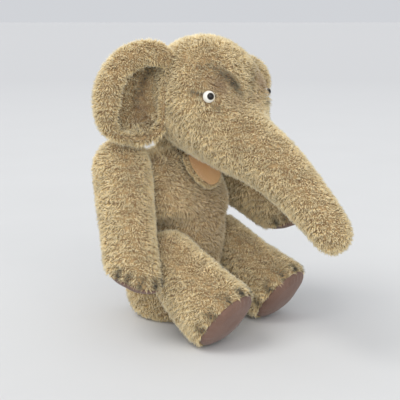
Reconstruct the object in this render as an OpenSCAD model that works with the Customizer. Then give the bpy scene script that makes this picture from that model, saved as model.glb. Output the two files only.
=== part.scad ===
// Disc-jointed mohair elephant, sitting. It faces -Y, its right side is -X, and z = 0 is the table.
// Every limb and the head turn on a pair of hardboard discs held by one cotter pin.

/* [Skin] */
// Thickness of a sewn cover: backing cloth with its pile pressed down
cover_t = 2; // [1.6:0.1:2.4]
// Thickness of the felt on soles, paws and mouth
felt_t = 1.4; // [1.2:0.1:1.6]
// Gap between the torso and a limb at a joint
joint_gap = 0.5; // [0.4:0.05:0.7]

/* [Joints] */
// Radius of a shoulder or hip disc
disc_r = 8; // [7:0.5:8.5]
// Radius of the neck discs
neck_disc_r = 9; // [8:0.5:9.5]
// Thickness of every disc
disc_t = 2.5; // [2:0.1:2.8]
// Radius of the cotter pin
pin_r = 1.4; // [1.2:0.1:1.6]
// Radial running clearance of a pin in the parts that it turns in
pin_play = 0.06; // [0.03:0.01:0.1]

/* [Head] */
// How far the head is turned to the elephant's right
head_turn = 12; // [8:1:14]
// Radius of an eye
eye_r = 4; // [3.6:0.1:4.2]
// Radius of the black dome on an eye
pupil_r = 2.5; // [2.2:0.1:2.7]

/* [Arms] */
// How far the right arm swings forward of its joint plane's own down
right_arm_swing = 19; // [10:1:24]
// How far the left arm swings forward
left_arm_swing = 52; // [42:1:54]
// How far the arms stand away from the torso
arm_splay = 11; // [9:1:13]

/* [Legs] */
// How far the legs slope down towards the feet
leg_slope = 36; // [34:0.5:37]
// How far each hip plane is turned to face forward
hip_turn = 15; // [13:1:17]

/* [Hidden] */
$fn = 40;

mohair = "#b79d72";
felt_brown = "#7d6259";
felt_peach = "#c99c66";
board = "#8c6d4a";
steel = "silver";
straw = "#cdbb8a";

right = -1;
left = 1;
sides = 20;

// ---- Joint places: points on the planes where two covers meet, given for the left side ----
neck_at = [0, 3, 128];
shoulder_at = [34, 0, 112];
shoulder_y = [16, 0, 6];
hip_at = [19.2, -15.5, 54.4];
half_gap = joint_gap / 2;
washer_t = 0.8;
washer_r = 5;
curl_r = 2.2;

// ---- Torso: rows of [z, centre y, half width, half depth] ----
torso_rows = [
    [0, 12, 17, 18], [3, 11.5, 22.5, 23.5], [10, 10.5, 27, 29], [24, 9.5, 30, 33.5], [42, 8, 31, 34],
    [60, 5.5, 33, 34.5], [76, 4.5, 36, 35], [90, 5, 38.5, 34], [100, 8, 39.5, 31.5], [109, 10.5, 40, 29],
    [116, 11.5, 38.5, 25.5], [121, 9, 33.5, 20], [125, 5, 22, 15], [128, 3, 13.5, 12.5]];
torso_sides = 24;
torso_count = 22;
legs_below = 84;
arms_above = 88;

// ---- Head and trunk: rows of [top forward, top z, bottom forward, bottom z, half width] ----
head_rows = [
    [-10, 178, -7, 158, 12], [-7, 190, -3, 147, 22], [1, 200, 4, 137, 29], [16, 206.5, 13, 131, 33.5],
    [33, 207.5, 24, 127.5, 35.5], [48, 203, 36, 124, 35.5], [59.5, 192, 47, 121, 33],
    [65, 178, 56, 118.5, 28.5], [69, 164, 65, 116, 23.5], [80.5, 154.5, 75, 113.5, 19.5],
    [97, 146, 87, 109, 16.2], [114, 134.5, 100, 103, 14], [131, 119.5, 116, 94, 12.8],
    [146, 104.5, 132, 84, 12.2], [153, 96, 140, 78, 11.2], [156, 90, 146, 77, 8]];
head_count = 26;
nose = 4;
nape = 3;

// ---- Arm hanging down: rows of [front y, front z, back y, back z, half thickness, centre x] ----
arm_rows = [
    [-9, 21, 9, 21, 8, 14], [-15, 15, 15.5, 15, 13.6, 13.8], [-18, 6, 19, 6, 16.4, 13.8],
    [-18.5, -8, 19.5, -8, 16.4, 14.4], [-18, -24, 19.2, -23, 15.6, 16], [-17.5, -43, 18, -39, 15, 18],
    [-17.5, -61, 17.5, -52, 14.6, 19.6], [-18, -76, 17, -61, 14.4, 20.8], [-18, -86.5, 15.5, -66, 13.8, 21.2]];
arm_top = 24.6;
arm_count = 15;
paw_bulge = 6;
pad_margin = 0.4;
dome_steps = [20, 40, 60, 76];

// ---- Leg pointing to -Y: rows of [top y, top z, bottom y, bottom z, half thickness, centre x] ----
leg_rows = [
    [17, 7.5, 17, -9, 9, 13.6], [12.5, 12.8, 12.5, -16, 14, 13.6], [3, 16, 3, -21, 16.2, 13.7],
    [-13, 17.6, -13, -24.6, 17, 14.2], [-29, 19.4, -29, -27, 18.6, 15.3], [-45, 22, -45, -26.6, 21, 16.6],
    [-55, 23.4, -55, -24.8, 22.8, 17.3], [-59, 23, -59, -23.4, 22.4, 17.4]];
leg_back = 19.5;
leg_count = 15;
sole_bulge = 8;

// ---- Ear: rows of [out from the head, z, height of the folded rim, how far the rim folds over] ----
ear_rows = [
    [-12, 191, 6, 0.5], [-6, 199, 7, 0.6], [4, 204.5, 8.5, 0.8], [17, 204.5, 11, 0.95], [28, 200.5, 12.5, 1],
    [37.5, 192.5, 13.5, 1], [44.5, 181.5, 14, 1], [47.5, 169, 14, 1], [46.5, 156, 12, 0.9], [42.5, 146.5, 8, 0.6],
    [34, 140.5, 4, 0.2], [22, 138, 3, 0], [8, 138.5, 3, 0], [0, 144, 4, 0.1], [-4, 155, 8, 0.5],
    [-7, 168, 9.5, 0.65], [-10, 181, 7.5, 0.6], [-12, 191, 6, 0.5]];
ear_middle = [20, 172];
ear_count = 30;
ear_root = [33, -20];
ear_sweep = 20;
ear_depth = 9;
ear_t = 3.4;
// The left ear's top is pushed down: [above this z, squashed to this share]
ear_squash = [165, 0.7];
// and its lower part is tucked in: [fully at this z, not at all by this z, share of its width kept]
ear_tuck = [150, 182, 0.8];
// Sections of an ear, back to front: [size, rim fold, behind the rim, share of the rim's height]
ear_steps = [
    [0.4, 0, 0.92, 0], [0.72, 0, 0.62, 0], [0.92, 0, 0.25, 0.05], [1, 0, 0, 0.4], [0.985, 0.05, 0, 0.8],
    [0.93, 0.15, 0, 1], [0.9, 0.29, 0, 1], [0.9, 0.4, 0, 0.84], [0.9, 0.4, 0, 0.6], [0.9, 0.22, 0, 0.6],
    [0.9, 0.06, 0, 0.48], [0.88, 0, 0, 0.15], [0.7, 0, 0.6, 0], [0.4, 0, 0.92, 0]];
ear_back_steps = 4;

// ---- Lower jaw: rows of [forward, z, half width] ----
jaw_rows = [
    [19, 125.2, 13.5], [21, 121.5, 15.4], [24, 116.5, 15.6], [28, 111, 13.8], [31.5, 106.5, 10.2],
    [33.6, 103.8, 5.4]];
jaw_t = 4;
jaw_lift = 3.5;
jaw_count = 12;
jaw_sides = 20;
jaw_facing = [0.84, 0.54];

// ---- Eyes: place on the head's side, and the way they look ----
eye_at = [26.2, -60.1, 170];
eye_out = 44;
eye_up = 12;
eye_dome = 2.6;
eye_rim = 1.4;
eye_wire_l = 6;
pupil_forward = 0.9;
pupil_film = 0.05;

// =====================================================================================
// Surfaces
// =====================================================================================

// The row at place u, from 0 to 1, on a smooth curve through all the rows
function row_at(rows, u) = let(
    last = len(rows) - 1, i = min(floor(u * last), last - 1), f = u * last - i,
    a = rows[max(i - 1, 0)], b = rows[i], c = rows[i + 1], d = rows[min(i + 2, last)])
    b + 0.5 * f * ((c - a) + f * ((2 * a - 5 * b + 4 * c - d) + f * (3 * (b - c) + d - a)));

function resample(rows, count) = [for (i = [0 : count - 1]) row_at(rows, i / (count - 1))];

function last_of(list) = list[len(list) - 1];

function front_of(row) = [row[0], row[1]];
function back_of(row) = [row[2], row[3]];
function middle(row) = (front_of(row) + back_of(row)) / 2;

// The way a row faces, square to the line from its front to its back
function facing(row) = let(h = front_of(row) - back_of(row)) [-h[1], h[0]] / norm(h);

// 1 makes true ovals, less makes them squarer
limb_fullness = 0.84;
torso_fullness = 0.88;
function fuller(c, power) = sign(c) * pow(abs(c), power);

// An oval ring round x, in the plane of the line from front to back, shrunk by inset
function oval(row, x, inset, power = 1) = let(
    c = middle(row), h = (front_of(row) - back_of(row)) / 2, v = h * (1 - inset / norm(h)))
    [for (i = [0 : sides - 1]) let(t = 360 * i / sides, a = fuller(cos(t), power), b = fuller(sin(t), power))
        [x + (row[4] - inset) * a, c[0] + v[0] * b, c[1] + v[1] * b]];

// Moves a point that is past a plane, [point, normal], back onto it
function press(p, plane) = let(d = (p - plane[0]) * plane[1]) d > 0 ? p - plane[1] * d : p;

// A closed skin over rings of equal length, with a tip at each end
module skin(tip_a, rings, tip_b) {
    n = len(rings[0]);
    points = concat([tip_a], [for (ring = rings) each ring], [tip_b]);
    final = len(points) - 1;
    from = final - n;
    faces = concat(
        [for (i = [0 : n - 1]) [0, 1 + i, 1 + (i + 1) % n]],
        [for (j = [0 : len(rings) - 2]) for (i = [0 : n - 1]) let(
            a = 1 + j * n + i, b = 1 + j * n + (i + 1) % n) each [[a, b + n, b], [a, a + n, b + n]]],
        [for (i = [0 : n - 1]) [final, from + (i + 1) % n, from + i]]);
    polyhedron(points = points, faces = faces);
}

// =====================================================================================
// Frames
// =====================================================================================

// Head parts are drawn with the neck axis at x = y = 0, the trunk along -Y
module in_head() {
    translate([neck_at[0], neck_at[1], 0]) rotate([0, 0, -head_turn]) children();
}

// A joint's frame: z = 0 is the plane between two covers, +Z points away from the torso
module at_neck() {
    translate(neck_at) children();
}

module on_side(at, side) {
    translate([side * at[0], at[1], at[2]]) children();
}

// The right shoulder is set further back than the left
function shoulder(side) = shoulder_at + [0, shoulder_y[side + 1], 0];

module at_shoulder(side) {
    on_side(shoulder(side), side) rotate([0, side * (90 - arm_splay), 0]) children();
}

module at_hip(side) {
    on_side(hip_at, side) rotate([0, 0, -side * hip_turn]) rotate([0, side * 90, 0]) children();
}

module flip(side) {
    mirror([side == right ? 1 : 0, 0, 0]) children();
}

// Limbs are drawn for the left side with their joint's middle at the origin
module in_arm(side, swing) {
    on_side(shoulder(side), side) flip(side) rotate([0, -arm_splay, 0]) rotate([-swing, 0, 0]) children();
}

module in_leg(side) {
    on_side(hip_at, side) flip(side) rotate([leg_slope, 0, 0]) children();
}

// =====================================================================================
// Joint hardware
// =====================================================================================

module disc(r, z) {
    color(board) translate([0, 0, z]) difference() {
        cylinder(r = r, h = disc_t);
        translate([0, 0, -1]) cylinder(r = pin_r + pin_play, h = disc_t + 2);
    }
}

// Limb discs hold the pin fast; it turns in the torso's discs and washers
module limb_disc(r) {
    color(board) translate([0, 0, cover_t + half_gap]) difference() {
        cylinder(r = r, h = disc_t);
        translate([0, 0, -1]) cylinder(r = pin_r, h = disc_t + 2);
    }
}

module torso_disc(r) {
    disc(r, -half_gap - cover_t - disc_t);
}

module washer() {
    color(steel) translate([0, 0, -half_gap - cover_t - disc_t - washer_t]) difference() {
        cylinder(r = washer_r, h = washer_t);
        translate([0, 0, -1]) cylinder(r = pin_r + pin_play, h = washer_t + 2);
    }
}

// Cotter pin: an eye in the limb, and two legs curled over inside the torso
module pin() {
    top = half_gap + cover_t + disc_t;
    end = -top - washer_t - 0.4;
    wire_r = pin_r * 0.6;
    color(steel) {
        translate([0, 0, end]) cylinder(r = pin_r, h = top - end);
        translate([0, 0, top + curl_r + wire_r / 2]) rotate([90, 0, 0])
            rotate_extrude() translate([curl_r, 0]) circle(r = wire_r, $fn = 16);
        for (turn = [0, 180]) rotate([0, 0, turn]) translate([curl_r, 0, end + 0.01]) rotate([90, 0, 0])
            rotate_extrude(angle = 180) translate([-curl_r, 0]) circle(r = wire_r, $fn = 16);
    }
}

// Room in a stuffing for the hardware on the torso's side, or on the limb's
module torso_side_room(r) {
    inside = -half_gap - cover_t - disc_t;
    translate([0, 0, inside]) cylinder(r = r, h = disc_t + 2);
    translate([0, 0, inside - washer_t]) cylinder(r = washer_r, h = 2 * washer_t);
    translate([0, 0, inside - washer_t - 4.6]) cylinder(r = 2 * curl_r + pin_r, h = 5);
}

module limb_side_room(r) {
    inside = half_gap + cover_t;
    translate([0, 0, inside - 2]) cylinder(r = r, h = disc_t + 2);
    translate([0, 0, inside]) cylinder(r = curl_r + pin_r, h = disc_t + 2 * curl_r + pin_r + 0.6);
}

// What the hardware takes out of the two covers
module pin_hole() {
    translate([0, 0, -4]) cylinder(r = pin_r + pin_play, h = 8);
}

module torso_side_cut(r) {
    pin_hole();
    translate([0, 0, -half_gap - cover_t - disc_t]) cylinder(r = r, h = disc_t);
}

module limb_side_cut(r) {
    pin_hole();
    translate([0, 0, half_gap + cover_t]) cylinder(r = r, h = disc_t);
}

// =====================================================================================
// Torso
// =====================================================================================

function shoulder_plane(side, inset) = let(n = [side * cos(arm_splay), 0, sin(arm_splay)])
    [[side * shoulder_at[0], shoulder_at[1], shoulder_at[2]] - n * (half_gap + inset), n];

function hip_plane(side, inset) = let(n = [side * cos(hip_turn), -sin(hip_turn), 0])
    [[side * hip_at[0], hip_at[1], hip_at[2]] - n * (half_gap + inset), n];

function press_torso(p, inset) = let(side = p[0] < 0 ? right : left)
    p[2] > arms_above ? press(p, shoulder_plane(side, inset))
    : p[2] < legs_below ? press(p, hip_plane(side, inset)) : p;

function torso_ring(row, z, inset) = [for (i = [0 : torso_sides - 1]) let(t = 360 * i / torso_sides)
    press_torso([(row[2] - inset) * fuller(cos(t), torso_fullness),
        row[1] + (row[3] - inset) * fuller(sin(t), torso_fullness), z], inset)];

module torso_skin(inset) {
    low = torso_rows[0][0] + inset;
    high = last_of(torso_rows)[0] - half_gap - inset;
    rings = [for (row = resample(torso_rows, torso_count))
        torso_ring(row, low + (high - low) * row[0] / last_of(torso_rows)[0], inset)];
    skin([0, torso_rows[0][1], low], rings, [0, neck_at[1], high]);
}

// First child for the neck, second for the four limbs
module at_torso_joints() {
    at_neck() children(0);
    for (side = [right, left]) {
        at_shoulder(side) children(1);
        at_hip(side) children(1);
    }
}

module torso_cover() {
    color(mohair) difference() {
        torso_skin(0);
        torso_skin(cover_t);
        at_torso_joints() {
            torso_side_cut(neck_disc_r);
            torso_side_cut(disc_r);
        }
    }
}

module torso_stuffing() {
    color(straw) difference() {
        torso_skin(cover_t);
        at_torso_joints() {
            torso_side_room(neck_disc_r);
            torso_side_room(disc_r);
        }
    }
}

module joint_washers() {
    at_torso_joints() {
        washer();
        washer();
    }
}

// Short sewn tail lying against the back of the seat: rows of [below its root, radius]
tail_root = [0, 46.3, 36];
tail_rows = [[0, 3.2], [7, 3.2], [14, 2.8], [20, 2.3], [24, 3], [27, 2.4]];

module tail() {
    rings = [for (row = tail_rows) [for (i = [0 : 11]) let(t = -30 * i)
        [row[1] * cos(t), row[1] * sin(t), -row[0]]]];
    color(mohair) translate(tail_root)
        skin([0, 0, 1.5], rings, [0, 0, -last_of(tail_rows)[0] - 1.5]);
}

// =====================================================================================
// Head
// =====================================================================================

// Rows give distances forward of the neck axis, and forward is -Y
function to_head(ring) = [for (p = ring) [p[0], -p[1], p[2]]];

module head_skin(inset) {
    rows = resample(head_rows, head_count);
    back = middle(rows[0]) - [nape - inset, 0];
    tip = middle(last_of(rows)) - facing(last_of(rows)) * (nose - inset);
    skin([0, -back[0], back[1]], [for (row = rows) to_head(oval(row, 0, inset))], [0, -tip[0], tip[1]]);
}

// A short collar closes the head at the joint plane
collar_r = 13.5;
collar_flare = 5;
collar_h = 12;

module collar(inset) {
    at_neck() translate([0, 0, half_gap + inset])
        cylinder(r1 = collar_r - inset, r2 = collar_r + collar_flare - inset, h = collar_h - inset);
}

module head_cover() {
    color(mohair) difference() {
        union() {
            in_head() head_skin(0);
            collar(0);
        }
        in_head() head_skin(cover_t);
        collar(cover_t);
        at_neck() limb_side_cut(neck_disc_r);
        eye_rooms();
    }
}

module head_stuffing() {
    color(straw) difference() {
        union() {
            in_head() head_skin(cover_t);
            collar(cover_t);
        }
        at_neck() limb_side_room(neck_disc_r);
        eye_rooms();
    }
}

function ear_point(row, step) = let(
    size = step[0] - step[1] * row[3], u = ear_middle + (front_of(row) - ear_middle) * size)
    [u[0], -(row[2] * step[3] - ear_depth * step[2]), u[1]];

function ear_ring(k) = let(step = ear_steps[k], back = k < ear_back_steps - 1 ? ear_t : 0)
    [for (i = [0 : ear_count - 1]) ear_point(row_at(ear_rows, 1 - i / ear_count), step) + [0, back, 0]];

function squashed(p) = let(k = min(max((p[2] - ear_tuck[0]) / (ear_tuck[1] - ear_tuck[0]), 0), 1))
    [p[0] * (ear_tuck[2] + (1 - ear_tuck[2]) * k), p[1],
    p[2] < ear_squash[0] ? p[2] : ear_squash[0] + (p[2] - ear_squash[0]) * ear_squash[1]];

function ear_points(list, side) = side == right ? list : [for (p = list) squashed(p)];

module ear(side) {
    tips = ear_points([[ear_middle[0], ear_depth + ear_t, ear_middle[1]],
        [ear_middle[0], ear_depth, ear_middle[1]]], side);
    color(mohair) in_head() difference() {
        flip(side) translate([ear_root[0], ear_root[1], 0]) rotate([0, 0, ear_sweep])
            skin(tips[0], [for (k = [0 : len(ear_steps) - 1]) ear_points(ear_ring(k), side)], tips[1]);
        head_skin(-0.3);
    }
}

// An eye's frame: +Z looks out of the head, +Y is up
module at_eye(side) {
    in_head() flip(side) translate(eye_at) rotate([0, 0, eye_out]) rotate([90 - eye_up, 0, 0]) children();
}

module eye_ball(h, r) {
    ball_r = (r * r + h * h) / (2 * h);
    translate([0, 0, eye_rim + h - ball_r]) sphere(r = ball_r);
}

module eye_white(side) {
    color("white") at_eye(side) {
        cylinder(r = eye_r, h = eye_rim);
        intersection() {
            eye_ball(eye_dome, eye_r);
            translate([0, 0, eye_rim]) cylinder(r = eye_r + 1, h = eye_r);
        }
    }
}

module eye_pupil(side) {
    color("black") at_eye(side) difference() {
        translate([-pupil_forward, 0, eye_rim + eye_dome - pupil_r * 0.62]) sphere(r = pupil_r);
        translate([0, 0, pupil_film]) eye_ball(eye_dome, eye_r);
    }
}

module eye_wire(side) {
    color(steel) at_eye(side) {
        translate([0, 0, -eye_wire_l]) cylinder(r = 0.5, h = eye_wire_l);
        translate([0, 0, -eye_wire_l - 1.3]) rotate([90, 0, 0])
            rotate_extrude() translate([1.3, 0]) circle(r = 0.5, $fn = 16);
    }
}

module eye_wires() {
    eye_wire(right);
    eye_wire(left);
}

module eye_rooms() {
    for (side = [right, left])
        at_eye(side) translate([0, 0, -eye_wire_l - 3.4]) cylinder(r = 2, h = eye_wire_l + 3.4);
}

// ---- Lower jaw: a padded scoop with raised edges, lined with felt ----
function jaw_point(row, t, width, rise, thick) = let(
    across = width * cos(t), n = jaw_lift * across * across + rise + thick * sin(t))
    [row[2] * across, -(row[0] + jaw_facing[0] * n), row[1] + jaw_facing[1] * n];

function jaw_rings(width, rise, thick) = [for (row = resample(jaw_rows, jaw_count))
    [for (i = [0 : jaw_sides - 1]) jaw_point(row, 360 * i / jaw_sides, width, rise, thick)]];

function jaw_tip(row, rise, way) = let(c = [row[0], row[1]] + jaw_facing * rise + way)
    [0, -c[0], c[1]];

module jaw_body(width, rise, thick, end) {
    skin(jaw_tip(jaw_rows[0], rise + jaw_lift * 0.3, [0, 0]), jaw_rings(width, rise, thick),
        jaw_tip(last_of(jaw_rows), rise + jaw_lift * 0.3, [0.54, -0.84] * end));
}

module lower_jaw() {
    color(mohair) in_head() jaw_body(1, 0, jaw_t / 2, 1.4);
}

module jaw_lining() {
    color(felt_peach) in_head() jaw_body(0.86, jaw_t / 2 + felt_t / 2 + 0.1, felt_t / 2, 0.4);
}

// Felt over the head's underside, above the jaw
module mouth_roof() {
    color(felt_peach) in_head() intersection() {
        difference() {
            head_skin(-0.2 - felt_t);
            head_skin(-0.2);
        }
        translate([-10, -44, 100]) cube([20, 18, 40]);
    }
}

// =====================================================================================
// Limbs, drawn for the left side
// =====================================================================================

// A limb is [its rows, the tip of its rounded end, a point on its joint plane, the way to the torso]
arm = [resample(arm_rows, arm_count), [arm_rows[0][5], 0, arm_top], [half_gap, 0, 0], [-1, 0, 0]];
hip_way = [-cos(hip_turn), sin(hip_turn) * cos(leg_slope), -sin(hip_turn) * sin(leg_slope)];
leg = [resample(leg_rows, leg_count), [leg_rows[0][5], leg_back, 0], -hip_way * half_gap, hip_way];

function ring_middle(row) = let(c = middle(row)) [row[5], c[0], c[1]];
function way_of(row) = let(f = facing(row)) [0, f[0], f[1]];

function limb_rings(limb, inset) = let(plane = [limb[2] - limb[3] * inset, limb[3]])
    [for (row = limb[0]) [for (p = oval(row, row[5], inset, limb_fullness)) press(p, plane)]];

function limb_tip(limb, inset) = let(v = limb[1] - ring_middle(limb[0][0])) limb[1] - v * inset / norm(v);

// Rings of the dome past a limb's open end
function dome_rings(row, inset, bulge) = [for (t = dome_steps) let(c = ring_middle(row))
    [for (p = oval(row, row[5], inset, limb_fullness)) c + (p - c) * cos(t) + way_of(row) * bulge * sin(t)]];

function reversed(list) = [for (i = [len(list) - 1 : -1 : 0]) list[i]];

module limb_solid(limb, inset, past) {
    end = last_of(limb[0]);
    out = way_of(end) * past;
    rings = limb_rings(limb, inset);
    skin(limb_tip(limb, inset), concat(rings, past > 0 ? [[for (p = last_of(rings)) p + out]] : []),
        ring_middle(end) + out);
}

module limb_tube(limb) {
    color(mohair) difference() {
        limb_solid(limb, 0, 0);
        limb_solid(limb, cover_t, cover_t);
    }
}

module limb_filling(limb, bulge) {
    end = last_of(limb[0]);
    skin(limb_tip(limb, cover_t), concat(limb_rings(limb, cover_t), dome_rings(end, cover_t, bulge - felt_t)),
        ring_middle(end) + way_of(end) * (bulge - felt_t));
}

// A domed felt sole over a limb's open end
module limb_pad(limb, bulge) {
    end = last_of(limb[0]);
    color(felt_brown) skin(ring_middle(end) + way_of(end) * (bulge - felt_t),
        concat(reversed(dome_rings(end, cover_t, bulge - felt_t)), [last_of(limb_rings(limb, cover_t))],
            [last_of(limb_rings(limb, pad_margin))], dome_rings(end, pad_margin, bulge)),
        ring_middle(end) + way_of(end) * bulge);
}

module arm_cover(side, swing) {
    color(mohair) difference() {
        in_arm(side, swing) limb_tube(arm);
        at_shoulder(side) limb_side_cut(disc_r);
    }
}

module arm_stuffing(side, swing) {
    color(straw) difference() {
        in_arm(side, swing) limb_filling(arm, paw_bulge);
        at_shoulder(side) limb_side_room(disc_r);
    }
}

module paw_pad(side, swing) {
    in_arm(side, swing) limb_pad(arm, paw_bulge);
}

module leg_cover(side) {
    color(mohair) difference() {
        in_leg(side) limb_tube(leg);
        at_hip(side) limb_side_cut(disc_r);
    }
}

module leg_stuffing(side) {
    color(straw) difference() {
        in_leg(side) limb_filling(leg, sole_bulge);
        at_hip(side) limb_side_room(disc_r);
    }
}

module foot_pad(side) {
    in_leg(side) limb_pad(leg, sole_bulge);
}

// =====================================================================================
// Parts
// =====================================================================================

torso_cover();
torso_stuffing();
at_neck() torso_disc(neck_disc_r);  // neck_disc_lower
at_shoulder(right) torso_disc(disc_r);  // shoulder_disc_right
at_shoulder(left) torso_disc(disc_r);  // shoulder_disc_left
at_hip(right) torso_disc(disc_r);  // hip_disc_right
at_hip(left) torso_disc(disc_r);  // hip_disc_left
joint_washers();
tail();
head_cover();
head_stuffing();
at_neck() limb_disc(neck_disc_r);  // neck_disc_upper
at_neck() pin();  // neck_pin
ear(right);  // ear_right
ear(left);  // ear_left
eye_white(right);  // eye_white_right
eye_white(left);  // eye_white_left
eye_pupil(right);  // eye_pupil_right
eye_pupil(left);  // eye_pupil_left
eye_wires();
lower_jaw();
jaw_lining();
mouth_roof();
arm_cover(right, right_arm_swing);  // arm_cover_right
arm_stuffing(right, right_arm_swing);  // arm_stuffing_right
paw_pad(right, right_arm_swing);  // paw_pad_right
at_shoulder(right) limb_disc(disc_r);  // arm_disc_right
at_shoulder(right) pin();  // arm_pin_right
arm_cover(left, left_arm_swing);  // arm_cover_left
arm_stuffing(left, left_arm_swing);  // arm_stuffing_left
paw_pad(left, left_arm_swing);  // paw_pad_left
at_shoulder(left) limb_disc(disc_r);  // arm_disc_left
at_shoulder(left) pin();  // arm_pin_left
leg_cover(right);  // leg_cover_right
leg_stuffing(right);  // leg_stuffing_right
foot_pad(right);  // foot_pad_right
at_hip(right) limb_disc(disc_r);  // leg_disc_right
at_hip(right) pin();  // leg_pin_right
leg_cover(left);  // leg_cover_left
leg_stuffing(left);  // leg_stuffing_left
foot_pad(left);  // foot_pad_left
at_hip(left) limb_disc(disc_r);  // leg_disc_left
at_hip(left) pin();  // leg_pin_left
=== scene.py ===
"""A sitting mohair elephant with a long trunk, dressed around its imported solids.

Every place is in metres in the solids' own frame: +Z is up, the torso faces -Y and +X is the
elephant's own left. Each cover gets a skin of woven backing, and a coat of pile grows on the skin.
"""

import logging
import math
from dataclasses import dataclass, field
from enum import Enum
from typing import Callable, Iterable, Optional, Sequence, Union

import bmesh
import bpy
import numpy as np
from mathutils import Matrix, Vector
from mathutils.bvhtree import BVHTree


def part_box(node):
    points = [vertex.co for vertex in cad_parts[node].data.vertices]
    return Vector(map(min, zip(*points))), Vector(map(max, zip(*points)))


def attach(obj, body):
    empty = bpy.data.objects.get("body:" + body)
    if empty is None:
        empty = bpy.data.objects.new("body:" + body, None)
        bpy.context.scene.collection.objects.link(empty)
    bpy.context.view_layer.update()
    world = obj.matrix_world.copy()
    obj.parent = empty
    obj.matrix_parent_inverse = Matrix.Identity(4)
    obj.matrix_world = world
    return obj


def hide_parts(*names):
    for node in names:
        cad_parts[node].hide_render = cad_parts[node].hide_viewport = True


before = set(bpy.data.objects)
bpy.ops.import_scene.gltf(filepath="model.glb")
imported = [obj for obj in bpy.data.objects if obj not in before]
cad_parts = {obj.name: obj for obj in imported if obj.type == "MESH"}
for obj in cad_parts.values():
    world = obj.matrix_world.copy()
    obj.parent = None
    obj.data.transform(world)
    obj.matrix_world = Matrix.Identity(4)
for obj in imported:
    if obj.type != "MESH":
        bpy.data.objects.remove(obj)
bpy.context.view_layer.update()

MM = 0.001
UP = np.array([0.0, 0.0, 1.0])
ABOVE_FLOOR = 0.1 * MM
MERGED = 0.001 * MM
log = logging.getLogger("elephant")

Colour = tuple[float, float, float, float]
Vec = tuple[float, float, float]
Reading = Union["Signal", float, Sequence[float]]


class Side(Enum):
    """The elephant's own right or left, and the sign of its X."""

    RIGHT = -1
    LEFT = 1

    @property
    def word(self) -> str:
        """The side as it stands in the names of pieces."""
        return self.name.lower()


class Kind(Enum):
    """The two kinds of limb, with the words that their solids use."""

    ARM = ("arm", "paw")
    LEG = ("leg", "foot")


# --------------------------------------------------
# Shader maths
# --------------------------------------------------


def operator(operation: str, swapped: bool = False) -> Callable[["Signal", Reading], "Signal"]:
    """A method of Signal that adds one Math node.

    Args:
        operation: the node's operation.
        swapped: whether the other term comes first.

    Returns:
        The method.
    """
    def method(signal: "Signal", other: Reading) -> "Signal":
        """The node's result."""
        first, second = (other, signal) if swapped else (signal, other)
        return signal.maths(operation, first, second)

    return method


class Signal:
    """A shader socket that Python's operators add Math nodes to."""

    def __init__(self, bench: "Bench", socket: bpy.types.NodeSocket) -> None:
        """Wraps one output socket of a bench."""
        self.bench = bench
        self.socket = socket

    def maths(self, operation: str, first: Reading, second: Reading) -> "Signal":
        """One Math node.

        Args:
            operation: the node's operation.
            first: the first term.
            second: the second term.

        Returns:
            The node's result.
        """
        return self.bench.node("ShaderNodeMath", {"operation": operation}, {0: first, 1: second})

    __add__ = operator("ADD")
    __radd__ = operator("ADD", swapped=True)
    __rsub__ = operator("SUBTRACT", swapped=True)
    __mul__ = operator("MULTIPLY")
    __pow__ = operator("POWER")


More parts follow.
